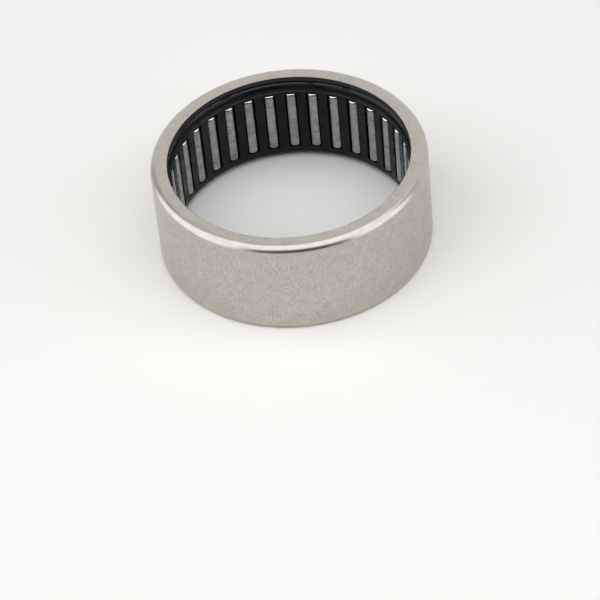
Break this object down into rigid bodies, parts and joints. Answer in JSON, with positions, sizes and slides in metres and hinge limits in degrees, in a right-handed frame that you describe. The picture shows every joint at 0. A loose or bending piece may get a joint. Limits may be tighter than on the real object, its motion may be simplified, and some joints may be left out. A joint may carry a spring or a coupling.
{
  "type": "needle roller bearing",
  "caption": "Drawn-cup needle roller bearing: a thin steel cup with turned-in ends holds a black steel cage of needle rollers that a plain shaft runs on; the cup presses into a housing bore.",
  "frame": {"origin": "on the bearing's axis, in the plane of the rolled end's face, which the bearing stands on", "axes": "+Z along the bearing's axis, from the rolled end to the flat lip; +X through the first needle"},
  "size_m": [0.047, 0.047, 0.018],
  "materials": {
    "cup_steel": "satin",
    "cage_steel": "satin",
    "needle_steel": "polished"
  },
  "bodies": {
    "cup": {"outer_cup": "cup_steel"},
    "cage": {"cage": "cage_steel"},
    "needle_01": {"needle_01": "needle_steel"},
    "needle_02": {"needle_02": "needle_steel"},
    "needle_03": {"needle_03": "needle_steel"},
    "needle_04": {"needle_04": "needle_steel"},
    "needle_05": {"needle_05": "needle_steel"},
    "needle_06": {"needle_06": "needle_steel"},
    "needle_07": {"needle_07": "needle_steel"},
    "needle_08": {"needle_08": "needle_steel"},
    "needle_09": {"needle_09": "needle_steel"},
    "needle_10": {"needle_10": "needle_steel"},
    "needle_11": {"needle_11": "needle_steel"},
    "needle_12": {"needle_12": "needle_steel"},
    "needle_13": {"needle_13": "needle_steel"},
    "needle_14": {"needle_14": "needle_steel"},
    "needle_15": {"needle_15": "needle_steel"},
    "needle_16": {"needle_16": "needle_steel"},
    "needle_17": {"needle_17": "needle_steel"},
    "needle_18": {"needle_18": "needle_steel"},
    "needle_19": {"needle_19": "needle_steel"},
    "needle_20": {"needle_20": "needle_steel"},
    "needle_21": {"needle_21": "needle_steel"},
    "needle_22": {"needle_22": "needle_steel"},
    "needle_23": {"needle_23": "needle_steel"},
    "needle_24": {"needle_24": "needle_steel"},
    "needle_25": {"needle_25": "needle_steel"},
    "needle_26": {"needle_26": "needle_steel"},
    "needle_27": {"needle_27": "needle_steel"},
    "needle_28": {"needle_28": "needle_steel"},
    "needle_29": {"needle_29": "needle_steel"},
    "needle_30": {"needle_30": "needle_steel"},
    "needle_31": {"needle_31": "needle_steel"},
    "needle_32": {"needle_32": "needle_steel"},
    "needle_33": {"needle_33": "needle_steel"},
    "needle_34": {"needle_34": "needle_steel"}
  },
  "joints": [
    {"name": "cage_spin", "type": "hinge", "parent": "cup", "child": "cage", "pos_m": [0, 0, 0.00868], "axis": [0, 0, 1], "continuous": true},
    {"name": "needle_01_spin", "type": "hinge", "parent": "cage", "child": "needle_01", "pos_m": [0.02125, 0, 0.0086], "axis": [0, 0, 1], "continuous": true},
    {"name": "needle_02_spin", "type": "hinge", "parent": "cage", "child": "needle_02", "pos_m": [0.02089, 0.0039, 0.0086], "axis": [0, 0, 1], "continuous": true},
    {"name": "needle_03_spin", "type": "hinge", "parent": "cage", "child": "needle_03", "pos_m": [0.01982, 0.00768, 0.0086], "axis": [0, 0, 1], "continuous": true},
    {"name": "needle_04_spin", "type": "hinge", "parent": "cage", "child": "needle_04", "pos_m": [0.01807, 0.01119, 0.0086], "axis": [0, 0, 1], "continuous": true},
    {"name": "needle_05_spin", "type": "hinge", "parent": "cage", "child": "needle_05", "pos_m": [0.0157, 0.01432, 0.0086], "axis": [0, 0, 1], "continuous": true},
    {"name": "needle_06_spin", "type": "hinge", "parent": "cage", "child": "needle_06", "pos_m": [0.01281, 0.01696, 0.0086], "axis": [0, 0, 1], "continuous": true},
    {"name": "needle_07_spin", "type": "hinge", "parent": "cage", "child": "needle_07", "pos_m": [0.00947, 0.01902, 0.0086], "axis": [0, 0, 1], "continuous": true},
    {"name": "needle_08_spin", "type": "hinge", "parent": "cage", "child": "needle_08", "pos_m": [0.00582, 0.02044, 0.0086], "axis": [0, 0, 1], "continuous": true},
    {"name": "needle_09_spin", "type": "hinge", "parent": "cage", "child": "needle_09", "pos_m": [0.00196, 0.02116, 0.0086], "axis": [0, 0, 1], "continuous": true},
    {"name": "needle_10_spin", "type": "hinge", "parent": "cage", "child": "needle_10", "pos_m": [-0.00196, 0.02116, 0.0086], "axis": [0, 0, 1], "continuous": true},
    {"name": "needle_11_spin", "type": "hinge", "parent": "cage", "child": "needle_11", "pos_m": [-0.00582, 0.02044, 0.0086], "axis": [0, 0, 1], "continuous": true},
    {"name": "needle_12_spin", "type": "hinge", "parent": "cage", "child": "needle_12", "pos_m": [-0.00947, 0.01902, 0.0086], "axis": [0, 0, 1], "continuous": true},
    {"name": "needle_13_spin", "type": "hinge", "parent": "cage", "child": "needle_13", "pos_m": [-0.01281, 0.01696, 0.0086], "axis": [0, 0, 1], "continuous": true},
    {"name": "needle_14_spin", "type": "hinge", "parent": "cage", "child": "needle_14", "pos_m": [-0.0157, 0.01432, 0.0086], "axis": [0, 0, 1], "continuous": true},
    {"name": "needle_15_spin", "type": "hinge", "parent": "cage", "child": "needle_15", "pos_m": [-0.01807, 0.01119, 0.0086], "axis": [0, 0, 1], "continuous": true},
    {"name": "needle_16_spin", "type": "hinge", "parent": "cage", "child": "needle_16", "pos_m": [-0.01982, 0.00768, 0.0086], "axis": [0, 0, 1], "continuous": true},
    {"name": "needle_17_spin", "type": "hinge", "parent": "cage", "child": "needle_17", "pos_m": [-0.02089, 0.0039, 0.0086], "axis": [0, 0, 1], "continuous": true},
    {"name": "needle_18_spin", "type": "hinge", "parent": "cage", "child": "needle_18", "pos_m": [-0.02125, 0, 0.0086], "axis": [0, 0, 1], "continuous": true},
    {"name": "needle_19_spin", "type": "hinge", "parent": "cage", "child": "needle_19", "pos_m": [-0.02089, -0.0039, 0.0086], "axis": [0, 0, 1], "continuous": true},
    {"name": "needle_20_spin", "type": "hinge", "parent": "cage", "child": "needle_20", "pos_m": [-0.01982, -0.00768, 0.0086], "axis": [0, 0, 1], "continuous": true},
    {"name": "needle_21_spin", "type": "hinge", "parent": "cage", "child": "needle_21", "pos_m": [-0.01807, -0.01119, 0.0086], "axis": [0, 0, 1], "continuous": true},
    {"name": "needle_22_spin", "type": "hinge", "parent": "cage", "child": "needle_22", "pos_m": [-0.0157, -0.01432, 0.0086], "axis": [0, 0, 1], "continuous": true},
    {"name": "needle_23_spin", "type": "hinge", "parent": "cage", "child": "needle_23", "pos_m": [-0.01281, -0.01696, 0.0086], "axis": [0, 0, 1], "continuous": true},
    {"name": "needle_24_spin", "type": "hinge", "parent": "cage", "child": "needle_24", "pos_m": [-0.00947, -0.01902, 0.0086], "axis": [0, 0, 1], "continuous": true},
    {"name": "needle_25_spin", "type": "hinge", "parent": "cage", "child": "needle_25", "pos_m": [-0.00582, -0.02044, 0.0086], "axis": [0, 0, 1], "continuous": true},
    {"name": "needle_26_spin", "type": "hinge", "parent": "cage", "child": "needle_26", "pos_m": [-0.00196, -0.02116, 0.0086], "axis": [0, 0, 1], "continuous": true},
    {"name": "needle_27_spin", "type": "hinge", "parent": "cage", "child": "needle_27", "pos_m": [0.00196, -0.02116, 0.0086], "axis": [0, 0, 1], "continuous": true},
    {"name": "needle_28_spin", "type": "hinge", "parent": "cage", "child": "needle_28", "pos_m": [0.00582, -0.02044, 0.0086], "axis": [0, 0, 1], "continuous": true},
    {"name": "needle_29_spin", "type": "hinge", "parent": "cage", "child": "needle_29", "pos_m": [0.00947, -0.01902, 0.0086], "axis": [0, 0, 1], "continuous": true},
    {"name": "needle_30_spin", "type": "hinge", "parent": "cage", "child": "needle_30", "pos_m": [0.01281, -0.01696, 0.0086], "axis": [0, 0, 1], "continuous": true},
    {"name": "needle_31_spin", "type": "hinge", "parent": "cage", "child": "needle_31", "pos_m": [0.0157, -0.01432, 0.0086], "axis": [0, 0, 1], "continuous": true},
    {"name": "needle_32_spin", "type": "hinge", "parent": "cage", "child": "needle_32", "pos_m": [0.01807, -0.01119, 0.0086], "axis": [0, 0, 1], "continuous": true},
    {"name": "needle_33_spin", "type": "hinge", "parent": "cage", "child": "needle_33", "pos_m": [0.01982, -0.00768, 0.0086], "axis": [0, 0, 1], "continuous": true},
    {"name": "needle_34_spin", "type": "hinge", "parent": "cage", "child": "needle_34", "pos_m": [0.02089, -0.0039, 0.0086], "axis": [0, 0, 1], "continuous": true}
  ],
  "couplings": [
    {"joint": "needle_01_spin", "follows": "cage_spin", "ratio": -18},
    {"joint": "needle_02_spin", "follows": "cage_spin", "ratio": -18},
    {"joint": "needle_03_spin", "follows": "cage_spin", "ratio": -18},
    {"joint": "needle_04_spin", "follows": "cage_spin", "ratio": -18},
    {"joint": "needle_05_spin", "follows": "cage_spin", "ratio": -18},
    {"joint": "needle_06_spin", "follows": "cage_spin", "ratio": -18},
    {"joint": "needle_07_spin", "follows": "cage_spin", "ratio": -18},
    {"joint": "needle_08_spin", "follows": "cage_spin", "ratio": -18},
    {"joint": "needle_09_spin", "follows": "cage_spin", "ratio": -18},
    {"joint": "needle_10_spin", "follows": "cage_spin", "ratio": -18},
    {"joint": "needle_11_spin", "follows": "cage_spin", "ratio": -18},
    {"joint": "needle_12_spin", "follows": "cage_spin", "ratio": -18},
    {"joint": "needle_13_spin", "follows": "cage_spin", "ratio": -18},
    {"joint": "needle_14_spin", "follows": "cage_spin", "ratio": -18},
    {"joint": "needle_15_spin", "follows": "cage_spin", "ratio": -18},
    {"joint": "needle_16_spin", "follows": "cage_spin", "ratio": -18},
    {"joint": "needle_17_spin", "follows": "cage_spin", "ratio": -18},
    {"joint": "needle_18_spin", "follows": "cage_spin", "ratio": -18},
    {"joint": "needle_19_spin", "follows": "cage_spin", "ratio": -18},
    {"joint": "needle_20_spin", "follows": "cage_spin", "ratio": -18},
    {"joint": "needle_21_spin", "follows": "cage_spin", "ratio": -18},
    {"joint": "needle_22_spin", "follows": "cage_spin", "ratio": -18},
    {"joint": "needle_23_spin", "follows": "cage_spin", "ratio": -18},
    {"joint": "needle_24_spin", "follows": "cage_spin", "ratio": -18},
    {"joint": "needle_25_spin", "follows": "cage_spin", "ratio": -18},
    {"joint": "needle_26_spin", "follows": "cage_spin", "ratio": -18},
    {"joint": "needle_27_spin", "follows": "cage_spin", "ratio": -18},
    {"joint": "needle_28_spin", "follows": "cage_spin", "ratio": -18},
    {"joint": "needle_29_spin", "follows": "cage_spin", "ratio": -18},
    {"joint": "needle_30_spin", "follows": "cage_spin", "ratio": -18},
    {"joint": "needle_31_spin", "follows": "cage_spin", "ratio": -18},
    {"joint": "needle_32_spin", "follows": "cage_spin", "ratio": -18},
    {"joint": "needle_33_spin", "follows": "cage_spin", "ratio": -18},
    {"joint": "needle_34_spin", "follows": "cage_spin", "ratio": -18}
  ]
}
